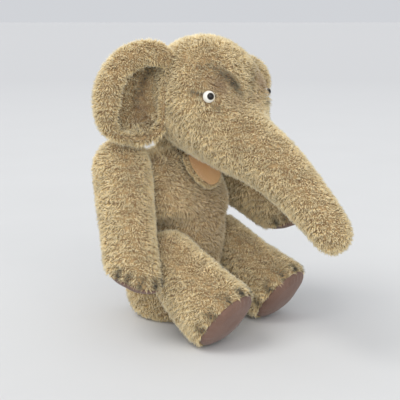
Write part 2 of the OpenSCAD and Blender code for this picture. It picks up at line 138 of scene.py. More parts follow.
class Bench:
    """The node tree of one material, with its shader and output in place."""

    def __init__(self, name: str) -> None:
        """Makes the material.

        Args:
            name: the material's name.
        """
        self.material = bpy.data.materials.new(name)
        self.material.use_nodes = True
        self.tree = self.material.node_tree
        self.tree.nodes.clear()
        self.shader = self.tree.nodes.new("ShaderNodeBsdfPrincipled")
        output = self.tree.nodes.new("ShaderNodeOutputMaterial")
        self.tree.links.new(self.shader.outputs["BSDF"], output.inputs["Surface"])

    def feed(self, socket: bpy.types.NodeSocket, value: Reading) -> None:
        """Links a signal to a socket, or sets a constant on it."""
        if isinstance(value, Signal):
            self.tree.links.new(value.socket, socket)
        else:
            socket.default_value = value

    def node(self, kind: str, settings: dict, inputs: dict, output: Union[int, str] = 0) -> Signal:
        """Adds a node.

        Args:
            kind: the node's type.
            settings: its own settings, set first; stops gives a ramp's (place, colour) pairs.
            inputs: values or signals for its sockets, by name or number.
            output: which output to return.

        Returns:
            The signal of that output.
        """
        made = self.tree.nodes.new(kind)
        for name, value in settings.items():
            if name == "stops":
                ramp = made.color_ramp
                while len(ramp.elements) < len(value):
                    ramp.elements.new(1.0)
                for element, (place, colour) in zip(ramp.elements, value):
                    element.position = place
                    element.color = colour
            else:
                setattr(made, name, value)
        for name, value in inputs.items():
            self.feed(made.inputs[name], value)
        return Signal(self, made.outputs[output])

    def place(self) -> Signal:
        """The point on the piece, in metres."""
        return self.node("ShaderNodeTexCoord", {}, {}, "Object")

    def noise(self, scale: float, detail: float = 3.0, where: Optional[Signal] = None) -> Signal:
        """Soft noise from 0 to 1.

        Args:
            scale: its waves to the metre.
            detail: its finer layers.
            where: where to read it, or None for the point on the piece.

        Returns:
            The noise.
        """
        inputs = {"Vector": where or self.place(), "Scale": scale, "Detail": detail}
        return self.node("ShaderNodeTexNoise", {}, inputs, "Fac")

    def mix(self, share: Reading, first: Reading, second: Reading, blend: str = "MIX") -> Signal:
        """Mixes two colours.

        Args:
            share: how much of the second.
            first: the first colour.
            second: the second colour.
            blend: how the two combine.

        Returns:
            The mixed colour.
        """
        settings = {"data_type": "RGBA", "blend_type": blend, "clamp_factor": True}
        return self.node("ShaderNodeMix", settings, {0: share, 6: first, 7: second}, 2)

    def grey(self, level: Reading) -> Signal:
        """A level as a grey colour."""
        return self.node("ShaderNodeCombineColor", {}, {0: level, 1: level, 2: level})

    def attribute(self, name: str) -> Signal:
        """The number that the mesh holds under that name."""
        settings = {"attribute_type": "GEOMETRY", "attribute_name": name}
        return self.node("ShaderNodeAttribute", settings, {}, "Fac")

    def bump(self, height: Signal, depth: float, strength: float) -> None:
        """Roughens the surface by a height from 0 to 1, depth metres deep."""
        inputs = {"Height": height, "Distance": depth, "Strength": strength}
        self.feed(self.shader.inputs["Normal"], self.node("ShaderNodeBump", {}, inputs))

    def finish(self, **sockets: Reading) -> bpy.types.Material:
        """Feeds the shader's sockets, named with _ for a space, and returns the material."""
        for name, value in sockets.items():
            self.feed(self.shader.inputs[name.replace("_", " ")], value)
        return self.material


# --------------------------------------------------
# Finishes
# --------------------------------------------------


@dataclass(frozen=True)
class MohairPile:
    """Mohair strands: dark and golden at the root, pale at the tip, airbrushed in places, with painted shade
    in the ears' folds and hollows.
    """

    root: Colour = (0.500, 0.345, 0.155, 1)
    middle: Colour = (0.800, 0.625, 0.320, 1)
    tip: Colour = (0.940, 0.885, 0.680, 1)
    # airbrush: real airbrushed paint, also used as painted shade along the ears' folds
    airbrush: Colour = (0.028, 0.026, 0.016, 1)
    # blush: warm patches, also used as painted shade in the ears' hollows
    blush: Colour = (0.330, 0.180, 0.105, 1)
    darkest: float = 0.74
    tone_swing: float = 0.34
    patch_swing: float = 0.26
    blush_cover: float = 0.75

    def material(self) -> bpy.types.Material:
        """The colour runs along each strand; tone, age, paint and the ears' painted shade vary over the coat.
        """
        bench = Bench("mohair_pile")
        stops = [(0.0, self.root), (0.5, self.middle), (1.0, self.tip)]
        strand = bench.node("ShaderNodeValToRGB", {"stops": stops}, {"Fac": bench.attribute("pile_height")})
        patches = bench.noise(38.0, 4.0)
        tone = self.darkest + bench.attribute("pile_tone") * self.tone_swing + patches * self.patch_swing
        toned = bench.mix(1.0, strand, bench.grey(tone), "MULTIPLY")
        # Mixes in warm patches and the painted shade of the ears' hollows, then paint and the painted shade
        # of the ears' folds.
        blushed_and_shaded = bench.mix(bench.attribute("pile_blush") * self.blush_cover, toned, self.blush)
        painted = bench.mix(bench.attribute("pile_airbrush"), blushed_and_shaded, self.airbrush)
        return bench.finish(Base_Color=painted, Roughness=0.72, Sheen_Weight=0.25,
                            Sheen_Roughness=0.45, IOR=1.4)


@dataclass(frozen=True)
class WovenBacking:
    """The cotton cloth that the pile stands in, seen between the strands."""

    thread: Colour = (0.480, 0.340, 0.170, 1)
    gap: Colour = (0.250, 0.160, 0.075, 1)
    threads_per_metre: float = 1100.0
    threads_per_wave: float = 20.0

    def material(self) -> bpy.types.Material:
        """Two crossed sets of threads, a little uneven in colour."""
        bench = Bench("woven_backing")
        where = bench.place()
        inputs = {"Vector": where, "Scale": self.threads_per_metre / self.threads_per_wave}
        across, along = (bench.node("ShaderNodeTexWave", {"bands_direction": axis}, inputs) for axis in "XZ")
        weave = across.maths("MAXIMUM", across, along)
        wear = bench.noise(90.0)
        colour = bench.mix(weave * (0.55 + wear * 0.5), self.gap, self.thread)
        bench.bump(weave, 0.2 * MM, 0.6)
        return bench.finish(Base_Color=colour, Roughness=0.9, Sheen_Weight=0.3)


@dataclass(frozen=True)
class WoolFelt:
    """Pressed wool felt: a matted surface of short fibres, rubbed paler in cloudy patches."""

    name: str
    body: Colour
    rubbed: Colour
    soiled: Colour

    def material(self) -> bpy.types.Material:
        """Cloudy tone, fine fibre flecks and a matted bump."""
        bench = Bench(self.name)
        where = bench.place()
        squeeze = {"vector_type": "POINT"}
        drawn = bench.node("ShaderNodeMapping", squeeze, {"Vector": where, "Scale": (1.0, 2.4, 0.7)})
        fibres = bench.noise(1500.0, 6.0, drawn)
        clouds = bench.noise(70.0, 4.0, where)
        rubbed = bench.mix(clouds ** 1.6 * 1.3, self.body, self.rubbed)
        flecked = bench.mix((1 - fibres) ** 2 * 0.9, rubbed, self.soiled)
        bench.bump(fibres * 0.7 + bench.noise(420.0, 2.0, where) * 0.3, 0.35 * MM, 0.8)
        return bench.finish(Base_Color=flecked, Roughness=0.93, Sheen_Weight=0.15, Sheen_Roughness=0.5)


@dataclass(frozen=True)
class GlossyEye:
    """Polished eye stock with faint scratches in its gloss."""

    name: str
    body: Colour
    clouded: Colour
    roughness: float

    def material(self) -> bpy.types.Material:
        """Slightly clouded colour, fine wear in the gloss."""
        bench = Bench(self.name)
        colour = bench.mix(bench.noise(260.0), self.body, self.clouded)
        wear = bench.noise(900.0, 5.0)
        gloss = self.roughness + wear ** 3 * 0.2
        return bench.finish(Base_Color=colour, Roughness=gloss, Specular_IOR_Level=0.35)


@dataclass(frozen=True)
class PressedBoard:
    """Hardboard of the joint discs: short fibres pressed flat."""

    pale: Colour = (0.330, 0.205, 0.115, 1)
    dark: Colour = (0.150, 0.085, 0.045, 1)

    def material(self) -> bpy.types.Material:
        """Flecks of fibre on a smooth face."""
        bench = Bench("pressed_board")
        flecks = bench.noise(1300.0, 8.0)
        bench.bump(flecks, 0.1 * MM, 0.5)
        return bench.finish(Base_Color=bench.mix(flecks, self.dark, self.pale), Roughness=0.55)


@dataclass(frozen=True)
class DrawnSteel:
    """Steel wire and stamped washers with a trace of rust."""

    bright: Colour = (0.560, 0.555, 0.540, 1)
    rust: Colour = (0.210, 0.095, 0.040, 1)

    def material(self) -> bpy.types.Material:
        """Bright metal, dull and brown where it has begun to rust."""
        bench = Bench("drawn_steel")
        stained = bench.noise(500.0, 6.0) ** 3 * 2.2
        colour = bench.mix(stained, self.bright, self.rust)
        return bench.finish(Base_Color=colour, Metallic=1 - stained * 0.6, Roughness=0.32 + stained * 0.4)


@dataclass(frozen=True)
class WoodWool:
    """Packed wood shavings inside the covers."""

    pale: Colour = (0.640, 0.520, 0.320, 1)
    dark: Colour = (0.300, 0.215, 0.110, 1)

    def material(self) -> bpy.types.Material:
        """Crossing curls of shaving."""
        bench = Bench("wood_wool")
        settings = {"wave_type": "BANDS", "bands_direction": "DIAGONAL"}
        inputs = {"Vector": bench.place(), "Scale": 60.0, "Distortion": 14.0, "Detail": 4.0}
        curls = bench.node("ShaderNodeTexWave", settings, inputs, "Fac")
        bench.bump(curls, 0.6 * MM, 0.8)
        return bench.finish(Base_Color=bench.mix(curls, self.dark, self.pale), Roughness=0.8)


class Finishes:
    """Every material, made once."""

    def __init__(self) -> None:
        """Makes them."""
        self.pile = MohairPile().material()
        self.backing = WovenBacking().material()
        self.sole = WoolFelt("brown_wool_felt", body=(0.165, 0.090, 0.064, 1),
                             rubbed=(0.245, 0.143, 0.105, 1), soiled=(0.085, 0.047, 0.035, 1)).material()
        self.mouth = WoolFelt("peach_wool_felt", body=(0.740, 0.460, 0.200, 1),
                              rubbed=(0.820, 0.570, 0.310, 1), soiled=(0.480, 0.250, 0.110, 1)).material()
        self.white = GlossyEye("eye_white_gloss", body=(0.820, 0.810, 0.760, 1),
                               clouded=(0.700, 0.680, 0.600, 1), roughness=0.16).material()
        self.black = GlossyEye("eye_black_gloss", body=(0.006, 0.005, 0.005, 1),
                               clouded=(0.016, 0.013, 0.011, 1), roughness=0.06).material()
        self.board = PressedBoard().material()
        self.steel = DrawnSteel().material()
        self.straw = WoodWool().material()


# --------------------------------------------------
# Mesh work
# --------------------------------------------------


def unit(rows: np.ndarray) -> np.ndarray:
    """Each row divided by its own length."""
    return rows / np.maximum(np.linalg.norm(rows, axis=-1, keepdims=True), 1e-12)


def points_of(mesh: bpy.types.Mesh, what: str = "co") -> np.ndarray:
    """A mesh's points, or its points' normals.

    Args:
        mesh: the mesh.
        what: co or normal.

    Returns:
        One row of three numbers to a point.
    """
    flat = np.zeros(len(mesh.vertices) * 3, np.float32)
    mesh.vertices.foreach_get(what, flat)
    return flat.reshape(-1, 3).astype(float)


def triangles_of(mesh: bpy.types.Mesh) -> np.ndarray:
    """A mesh's triangles, as rows of three point numbers."""
    mesh.calc_loop_triangles()
    flat = np.zeros(len(mesh.loop_triangles) * 3, np.int32)
    mesh.loop_triangles.foreach_get("vertices", flat)
    return flat.reshape(-1, 3)


def tree_of(mesh: bpy.types.Mesh) -> BVHTree:
    """A search tree of a mesh's triangles."""
    return BVHTree.FromPolygons(points_of(mesh).tolist(), triangles_of(mesh).tolist())


def gap_to(tree: BVHTree, points: np.ndarray, reach: float) -> np.ndarray:
    """How far each point lies outside a closed surface, less than 0 inside it.

    Args:
        tree: the surface.
        points: the points.
        reach: beyond this distance a point counts as that far away.

    Returns:
        One distance to a point.
    """
    def signed(point: Vector) -> float:
        """The distance of one point, with its sign."""
        place, normal, _, distance = tree.find_nearest(point, reach)
        if place is None:
            return reach
        return distance if (point - place).dot(normal) >= 0 else -distance

    return np.array([signed(Vector(point)) for point in points])


def put(name: str, data: bpy.types.ID) -> bpy.types.Object:
    """A new object of the scene."""
    made = bpy.data.objects.new(name, data)
    bpy.context.scene.collection.objects.link(made)
    return made


def finish_with(mesh: bpy.types.Mesh, finish: bpy.types.Material) -> None:
    """Makes a finish a mesh's only one."""
    mesh.materials.clear()
    mesh.materials.append(finish)


def copy_of(name: str, nodes: Iterable[str]) -> bpy.types.Object:
    """One piece made of copies of some solids, with their loose triangles merged."""
    shape = bmesh.new()
    for node in nodes:
        shape.from_mesh(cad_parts[node].data)
    bmesh.ops.remove_doubles(shape, verts=shape.verts, dist=MERGED)
    mesh = bpy.data.meshes.new(name)
    shape.to_mesh(mesh)
    shape.free()
    return put(name, mesh)


def move_points(piece: bpy.types.Object, points: np.ndarray) -> None:
    """Moves a piece's points, none of them lower than just above the floor."""
    points[:, 2] = np.maximum(points[:, 2], ABOVE_FLOOR)
    piece.data.vertices.foreach_set("co", points.astype(np.float32).ravel())
    piece.data.update()


def new_piece(name: str, points: np.ndarray, faces: np.ndarray,
              finish: bpy.types.Material) -> bpy.types.Object:
    """A smooth mesh piece at the origin.

    Args:
        name: the piece's name.
        points: rows of x, y and z.
        faces: rows of three or four point numbers.
        finish: its material.

    Returns:
        The piece.
    """
    mesh = bpy.data.meshes.new(name)
    corners = faces.shape[1]
    mesh.vertices.add(len(points))
    mesh.vertices.foreach_set("co", points.astype(np.float32).ravel())
    mesh.loops.add(faces.size)
    mesh.loops.foreach_set("vertex_index", faces.astype(np.int32).ravel())
    mesh.polygons.add(len(faces))
    mesh.polygons.foreach_set("loop_start", np.arange(0, faces.size, corners, dtype=np.int32))
    mesh.update(calc_edges=True)
    mesh.validate()
    mesh.polygons.foreach_set("use_smooth", np.ones(len(mesh.polygons), bool))
    mesh.materials.append(finish)
    return put(name, mesh)


def settle(piece: bpy.types.Object) -> None:
    """Makes a piece's modifiers part of its mesh."""
    bpy.context.view_layer.update()
    worked = piece.evaluated_get(bpy.context.evaluated_depsgraph_get())
    mesh = bpy.data.meshes.new_from_object(worked)
    piece.modifiers.clear()
    piece.data = mesh
    mesh.polygons.foreach_set("use_smooth", np.ones(len(mesh.polygons), bool))


def remesh(piece: bpy.types.Object, voxel: float, rounds: int) -> None:
    """Rebuilds a closed piece as even cloth.

    Args:
        piece: the piece.
        voxel: the side of its new faces.
        rounds: rounds of smoothing after that.
    """
    grid = piece.modifiers.new("grid", "REMESH")
    grid.mode = "VOXEL"
    grid.voxel_size = voxel
    ease = piece.modifiers.new("ease", "SMOOTH")
    ease.factor = 0.5
    ease.iterations = rounds
    settle(piece)


def subdivide(piece: bpy.types.Object) -> None:
    """One round of subdivision."""
    finer = piece.modifiers.new("finer", "SUBSURF")
    finer.levels = 1
    finer.render_levels = 1
    settle(piece)


def lathe(profile: np.ndarray, centre: np.ndarray, axes: np.ndarray,
          around: int) -> tuple[np.ndarray, np.ndarray]:
    """A closed turned shape.

    A point is centre + r * (cos t * across + sin t * up) + h * out, where (r, h) runs along the
    profile from one pole to the other and t goes round. The first and last rows are the poles.

    Args:
        profile: rows of radius and height, back pole first.
        centre: where height is 0.
        axes: rows across, up and out.
        around: the number of steps round.

    Returns:
        Points and triangles.
    """
    turn = np.arange(around) * 2 * math.pi / around
    ring = np.cos(turn)[:, None] * axes[0] + np.sin(turn)[:, None] * axes[1]
    middle = profile[1:-1]
    grid = centre + middle[:, 0, None, None] * ring[None] + middle[:, 1, None, None] * axes[2]
    poles = centre + profile[[0, -1], 1][:, None] * axes[2]
    points = np.concatenate([grid.reshape(-1, 3), poles])
    here = np.arange(around)
    there = (here + 1) % around
    rows = np.arange(len(middle) - 1)[:, None] * around
    lower = np.stack([rows + here, rows + there, rows + there + around], -1).reshape(-1, 3)
    upper = np.stack([rows + here, rows + there + around, rows + here + around], -1).reshape(-1, 3)
    last = (len(middle) - 1) * around
    back = np.stack([np.full(around, len(points) - 2), there, here], -1)
    front = np.stack([last + here, last + there, np.full(around, len(points) - 1)], -1)
    return points, np.concatenate([lower, upper, back, front])


WAVES = 6
WAVES_PEAK = 2.4


def wander(points: np.ndarray, wave: float, seed: int, columns: int = 3) -> np.ndarray:
    """A smooth field of numbers that swings between about -1 and 1.

    Each column is a sum of WAVES sine waves of about one wavelength, in directions that a seeded
    generator picks.

    Args:
        points: where to read it.
        wave: the wavelength.
        seed: picks the field.
        columns: how many independent fields.

    Returns:
        One row to a point.
    """
    draw = np.random.default_rng(seed)
    directions = unit(draw.normal(size=(columns, WAVES, 3))) * draw.uniform(0.7, 1.4, (columns, WAVES, 1))
    phases = draw.uniform(0, 2 * math.pi, (columns, WAVES))
    angles = np.einsum("pk,cwk->pcw", points, directions) * 2 * math.pi / wave + phases
    return np.sin(angles).sum(-1) / WAVES_PEAK


@dataclass(frozen=True)
class DiscFrame:
    """The centre and axes of a flat round solid, found from its points."""

    centre: np.ndarray
    across: np.ndarray
    up: np.ndarray
    out: np.ndarray
    radius: float

    @classmethod
    def of(cls, node: str, outward: np.ndarray, upward: np.ndarray) -> "DiscFrame":
        """The frame of a disc.

        Args:
            node: the solid.
            outward: a direction on the side that its face looks to.
            upward: a direction that up leans to.

        Returns:
            The frame; its across is up x out.
        """
        points = points_of(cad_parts[node].data)
        centre = points.mean(0)
        thin = np.linalg.eigh(np.cov((points - centre).T))[1][:, 0]
        out = thin * (1.0 if thin @ outward > 0 else -1.0)
        up = unit(upward - (upward @ out) * out)
        spread = (points - centre) - ((points - centre) @ out)[:, None] * out
        return cls(centre, np.cross(up, out), up, out, float(np.linalg.norm(spread, axis=1).max()))


# --------------------------------------------------
# Covers and pile
# --------------------------------------------------

PRESSURE_FRAMES = 20
PRESSURE = 4.0
HELD_WITHIN = 1 * MM
FREE_BEYOND = 6 * MM


@dataclass
class Skin:
    """The cloth of one cover: the outer shell of its solid, remade as even cloth and blown out."""

    name: str
    node: str
    body: str
    stuffing: Optional[str] = None
    neighbours: tuple[str, ...] = ()
    voxel: float = 2.5 * MM
    give: float = 1.1 * MM
    fill: float = 0.9
    fine: bool = True
    piece: Optional[bpy.types.Object] = None
    tree: Optional[BVHTree] = None

    def keep_outside(self) -> None:
        """Drops the small closed pockets that remaking leaves inside, and keeps the largest shell."""
        shape = bmesh.new()
        shape.from_mesh(self.piece.data)
        unseen, shells = set(shape.verts), []
        while unseen:
            edge, shell = {unseen.pop()}, set()
            while edge:
                shell |= edge
                edge = {link.other_vert(vert) for vert in edge for link in vert.link_edges} - shell
            unseen -= shell
            shells.append(shell)
        largest = max(shells, key=len)
        bmesh.ops.delete(shape, geom=[vert for vert in shape.verts if vert not in largest], context="VERTS")
        shape.to_mesh(self.piece.data)
        shape.free()

    def touch(self, start: np.ndarray, toward: np.ndarray) -> np.ndarray:
        """Where a line from a start meets the skin, or the nearest point of the skin."""
        place = self.tree.ray_cast(Vector(start), Vector(toward))[0]
        if place is None:
            place = self.tree.find_nearest(Vector(start))[0]
        return np.array(place)

    def held(self, points: np.ndarray) -> np.ndarray:
        """How free each point is to move: 0 beside another body's cover, 1 well away from it."""
        free = np.ones(len(points))
        for node in self.neighbours:
            away = np.abs(gap_to(tree_of(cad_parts[node].data), points, FREE_BEYOND))
            free = np.minimum(free, np.clip((away - HELD_WITHIN) / (FREE_BEYOND - HELD_WITHIN), 0, 1))
        return free[:, None]

    def swell(self) -> None:
        """Blows the cloth out under light pressure, and caps how far each point moves."""
        scene = bpy.context.scene
        rest = points_of(self.piece.data)
        cloth = self.piece.modifiers.new("pressure", "CLOTH")
        cloth.settings.use_pressure = True
        cloth.settings.uniform_pressure_force = PRESSURE
        cloth.settings.effector_weights.gravity = 0.0
        cloth.point_cache.frame_start = 1
        cloth.point_cache.frame_end = PRESSURE_FRAMES
        for moment in range(1, PRESSURE_FRAMES + 1):
            scene.frame_set(moment)
        worked = self.piece.evaluated_get(bpy.context.evaluated_depsgraph_get())
        moved = points_of(worked.data) - rest
        self.piece.modifiers.remove(cloth)
        scene.frame_set(1)
        length = np.linalg.norm(moved, axis=1, keepdims=True)
        moved *= np.minimum(1, self.give / np.maximum(length, 1e-9)) * self.held(rest)
        move_points(self.piece, rest + moved)

    def sew(self, finish: bpy.types.Material) -> bpy.types.Object:
        """Makes the skin in place of its solid.

        The solid is remade with its stuffing in it, so that only its outside is left.

        Args:
            finish: the backing cloth.

        Returns:
            The piece.
        """
        self.piece = copy_of(self.name, filter(None, (self.node, self.stuffing)))
        remesh(self.piece, self.voxel, 3)
        self.keep_outside()
        if self.give > 0:
            self.swell()
        if self.fine:
            subdivide(self.piece)
        finish_with(self.piece.data, finish)
        self.tree = tree_of(self.piece.data)
        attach(self.piece, self.body)
        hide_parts(self.node)
        log.info("skin %s: %d faces", self.name, len(self.piece.data.polygons))
        return self.piece


@dataclass(frozen=True)
class Smudge:
    """A soft round patch of paint or blush."""

    centre: np.ndarray
    radius: float
    strength: float = 1.0

    def on(self, points: np.ndarray) -> np.ndarray:
        """Its strength at each point: a bell of the distance from its centre."""
        away = np.linalg.norm(points - self.centre, axis=1) / self.radius
        return self.strength * np.exp(-away ** 2)


def strongest(smudges: Sequence[Smudge], points: np.ndarray) -> np.ndarray:
    """The strongest of several smudges at each point."""
    level = np.zeros(len(points))
    for smudge in smudges:
        level = np.maximum(level, smudge.on(points))
    return level


@dataclass(frozen=True)
class Ball:
    """A round space that pile is trimmed out of, such as round an eye."""

    centre: np.ndarray
    radius: float

    def holds(self, points: np.ndarray) -> np.ndarray:
        """Which points lie in it."""
        return np.linalg.norm(points - self.centre, axis=1) < self.radius


@dataclass
class Surroundings:
    """What pile is trimmed against: every skin and felt piece, and the round spaces."""

    solids: dict[str, BVHTree] = field(default_factory=dict)
    boxes: dict[str, tuple[np.ndarray, np.ndarray]] = field(default_factory=dict)
    balls: list[Ball] = field(default_factory=list)

    def add(self, piece: bpy.types.Object) -> None:
        """Counts a piece among the solids."""
        points = points_of(piece.data)
        self.solids[piece.name] = tree_of(piece.data)
        self.boxes[piece.name] = (points.min(0), points.max(0))

    def room(self, points: np.ndarray, own: str, reach: float) -> np.ndarray:
        """How far each point is outside every solid but its own, up to reach."""
        room = np.full(len(points), reach)
        for name, tree in self.solids.items():
            low, high = self.boxes[name]
            near = ((points > low - reach) & (points < high + reach)).all(1)
            if name != own and near.any():
                room[near] = np.minimum(room[near], gap_to(tree, points[near], reach))
        for ball in self.balls:
            room[ball.holds(points)] = -reach
        return room


STRANDS_PER_PIECE = 17500
STRAND_SIDES = 3
STRAND_POINTS = 2 * STRAND_SIDES + 1
WAIST = 0.72
SUNK = 0.3 * MM
PILE_ABOVE_FLOOR = 0.15 * MM
ROOM_AT_ROOT = 0.7 * MM
ROOM_AT_TIP = 0.1 * MM
CLIPPED = 0.62
SHORTEST = 0.3


@dataclass(frozen=True)
class Bend:
    """How strongly each cause turns one half of a strand."""

    normal: float
    comb: float
    tuft: float
    stray: float
    droop: float

    def of(self, normal: np.ndarray, comb: np.ndarray, tuft: np.ndarray, stray: np.ndarray) -> np.ndarray:
        """The direction of that half of each strand."""
        return unit(self.normal * normal + self.comb * comb + self.tuft * tuft + self.stray * stray
                    - self.droop * UP)


LOWER_HALF = Bend(normal=1.0, comb=0.35, tuft=0.10, stray=0.10, droop=0.0)
UPPER_HALF = Bend(normal=0.8, comb=0.80, tuft=0.20, stray=0.20, droop=0.08)


@dataclass
class Coat:
    """The pile of one skin: closed, tapered, bent strands of three sides."""

    name: str
    skin: Skin
    length: float
    seed: int
    comb: Vec = (0.0, 0.0, -1.0)
    lie: float = 0.7
    per_mm2: float = 1.8
    thickness: float = 0.3 * MM
    row: Vec = (0.5, 0.3, 0.8)
    row_pitch: float = 3.4 * MM
    row_lie: float = 0.3
    row_length: float = 0.12
    tuft_wave: float = 9 * MM
    lengths: tuple[float, float] = (0.7, 1.2)
    # airbrush holds real paint and the ears' painted fold shade; blush holds warm patches and the ears'
    # painted hollow shade
    airbrush: tuple[Smudge, ...] = ()
    blush: tuple[Smudge, ...] = ()
    tall: tuple[Smudge, ...] = ()

    def roots(self, draw: np.random.Generator, keep: Optional[np.ndarray]) -> tuple[np.ndarray, np.ndarray]:
        """Scatters roots evenly over the skin.

        A root is (1-u)A + u(1-v)B + uvC on a triangle ABC picked by its area, with u the square
        root of one random number and v another.

        Args:
            draw: the coat's random numbers.
            keep: which of the skin's triangles bear this coat, or None for all.

        Returns:
            Roots and their normals.
        """
        mesh = self.skin.piece.data
        points, normals, faces = points_of(mesh), points_of(mesh, "normal"), triangles_of(mesh)
        if keep is not None:
            faces = faces[keep]
        a, b, c = points[faces[:, 0]], points[faces[:, 1]], points[faces[:, 2]]
        areas = np.linalg.norm(np.cross(b - a, c - a), axis=1) / 2
        count = min(int(areas.sum() / MM ** 2 * self.per_mm2), STRANDS_PER_PIECE)
        picked = np.searchsorted(np.cumsum(areas) / areas.sum(), draw.random(count))
        u = np.sqrt(draw.random((count, 1)))
        v = draw.random((count, 1))
        spread = [1 - u, u * (1 - v), u * v]
        root = sum(share * points[faces[picked, corner]] for corner, share in enumerate(spread))
        normal = sum(share * normals[faces[picked, corner]] for corner, share in enumerate(spread))
        return root, unit(normal)

    def grow(self, around: Surroundings, finish: bpy.types.Material,
             keep: Optional[np.ndarray] = None) -> bpy.types.Object:
        """Grows the coat.

        The lower half of a strand rises along the normal and the comb, and its upper half lies
        over further. A wandering field tilts neighbours together into tufts, and the rows of the
        cloth part the pile. A strand that would enter a neighbour is cut shorter or left out.

        Args:
            around: what to trim against.
            finish: the pile's material.
            keep: which triangles bear it, or None for all.

        Returns:
            The piece.
        """
        draw = np.random.default_rng(self.seed)
        root, normal = self.roots(draw, keep)
        comb = self.comb - (normal @ np.array(self.comb))[:, None] * normal
        tuft = wander(root, self.tuft_wave, self.seed) + 0.6 * wander(root, self.tuft_wave / 2, self.seed + 1)
        stray = draw.normal(size=root.shape)
        rows = np.sin(root @ unit(np.array(self.row)) * 2 * math.pi / self.row_pitch
                      + 1.4 * wander(root, 18 * MM, self.seed + 2, 1)[:, 0])
        lean = self.lie * (1 + self.row_lie * rows[:, None]) * comb
        first, second = (half.of(normal, lean, tuft, stray) for half in (LOWER_HALF, UPPER_HALF))
        length = self.length * draw.uniform(*self.lengths, len(root)) * (1 + self.row_length * rows)
        length *= 1 + strongest(self.tall, root)

        def room(points: np.ndarray) -> np.ndarray:
            """How far points are outside the neighbours."""
            return around.room(points, self.skin.name, self.length * 2)

        def tips() -> np.ndarray:
            """Where the strands end."""
            return root + (first + second) / 2 * length[:, None]

        alive = room(root) > ROOM_AT_ROOT
        for _ in range(3):
            crossing = alive & (room(tips()) < ROOM_AT_TIP)
            length[crossing] *= CLIPPED
        alive &= room(tips()) >= 0
        alive &= length > SHORTEST * self.length
        root, normal, first, second, length, rows = (
            values[alive] for values in (root, normal, first, second, length, rows))
        tone = 0.5 + 0.22 * rows + 0.2 * wander(root, 14 * MM, self.seed + 3, 1)[:, 0]
        tone += draw.uniform(-0.2, 0.2, len(root))
        piece = self.strands(root, normal, first, second, length, draw, finish)
        heights = np.repeat([0.0, 0.5, 1.0], [STRAND_SIDES, STRAND_SIDES, 1])
        self.mark(piece, "pile_height", np.tile(heights, len(root)))
        # The airbrush and blush numbers hold real paint and warm patches, and on the ears painted shade.
        for name, values in (("pile_tone", np.clip(tone, 0, 1)),
                             ("pile_airbrush", strongest(self.airbrush, root)),
                             ("pile_blush", strongest(self.blush, root))):
            self.mark(piece, name, np.repeat(values, STRAND_POINTS))
        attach(piece, self.skin.body)
        log.info("coat %s: %d strands", self.name, len(root))
        return piece

    @staticmethod
    def mark(piece: bpy.types.Object, name: str, values: np.ndarray) -> None:
        """Stores one number to a point under a name."""
        attribute = piece.data.attributes.new(name, "FLOAT", "POINT")
        attribute.data.foreach_set("value", values.astype(np.float32))

    def strands(self, root: np.ndarray, normal: np.ndarray, first: np.ndarray, second: np.ndarray,
                length: np.ndarray, draw: np.random.Generator,
                finish: bpy.types.Material) -> bpy.types.Object:
        """Builds the strands' mesh.

        Rings of three points stand at the root, sunk into the skin, and at half length, each
        point at ring centre + r * (cos t * side + sin t * across); one point is the tip.

        Args:
            root: where each strand starts.
            normal: the skin's normal there.
            first: the direction of the lower half.
            second: the direction of the upper half.
            length: its length.
            draw: the coat's random numbers.
            finish: the pile's material.

        Returns:
            The piece.
        """
        side = unit(np.cross(first, draw.normal(size=root.shape)))
        across = np.cross(first, side)
        turn = np.arange(STRAND_SIDES)[:, None] * 2 * math.pi / STRAND_SIDES
        ring = np.cos(turn) * side[:, None] + np.sin(turn) * across[:, None]
        foot = root - normal * SUNK
        middle = root + first * (length / 2)[:, None]
        tip = middle + second * (length / 2)[:, None]
        base = foot[:, None] + ring * self.thickness
        waist = middle[:, None] + ring * self.thickness * WAIST
        points = np.concatenate([base, waist, tip[:, None]], 1).reshape(-1, 3)
        points[:, 2] = np.maximum(points[:, 2], PILE_ABOVE_FLOOR)
        one = [(2, 1, 0)]
        for here in range(STRAND_SIDES):
            there = (here + 1) % STRAND_SIDES
            above, beside = here + STRAND_SIDES, there + STRAND_SIDES
            one += [(here, there, beside), (here, beside, above), (above, beside, STRAND_POINTS - 1)]
        faces = (np.arange(len(root))[:, None, None] * STRAND_POINTS + np.array(one)).reshape(-1, 3)
        return new_piece(self.name, points, faces, finish)


@dataclass
class FeltPiece:
    """A cut piece of felt: the solid's shape, made soft, with puckers near its sewn edge."""

    name: str
    node: str
    body: str
    slot: str
    voxel: float = 0.7 * MM
    disc: Optional[DiscFrame] = None
    pucker: float = 0.15 * MM
    gathers: int = 26
    seam: float = 0.86
    seam_width: float = 0.1
    dent: float = 0.35 * MM

    def cut(self, finish: bpy.types.Material) -> bpy.types.Object:
        """Makes the piece in place of its solid.

        Args:
            finish: the felt.

        Returns:
            The piece.
        """
        piece = copy_of(self.name, [self.node])
        remesh(piece, self.voxel, 2)
        if self.disc:
            self.gather(piece)
        finish_with(piece.data, finish)
        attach(piece, self.body)
        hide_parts(self.node)
        log.info("felt %s: %d faces", self.name, len(piece.data.polygons))
        return piece

    def gather(self, piece: bpy.types.Object) -> None:
        """Puckers a pad's outer face near its seam.

        A point at share s of the radius and angle t moves along the outward axis by
        pucker * sin(gathers * t + 2 sin 3t) * a bell round s = seam, and by a slow wandering dent.

        Args:
            piece: the pad.
        """
        points = points_of(piece.data)
        arm = points - self.disc.centre
        x, y = arm @ self.disc.across, arm @ self.disc.up
        share = np.hypot(x, y) / self.disc.radius
        angle = np.arctan2(y, x)
        bell = np.exp(-((share - self.seam) / self.seam_width) ** 2)
        lift = self.pucker * np.sin(self.gathers * angle + 2 * np.sin(3 * angle)) * bell
        lift += self.dent * wander(points, 16 * MM, 5, 1)[:, 0] * np.clip(1.1 - share, 0, 1)
        facing = points_of(piece.data, "normal") @ self.disc.out > 0
        move_points(piece, points + (lift * facing)[:, None] * self.disc.out)


# --------------------------------------------------
# Sub-assemblies
# --------------------------------------------------


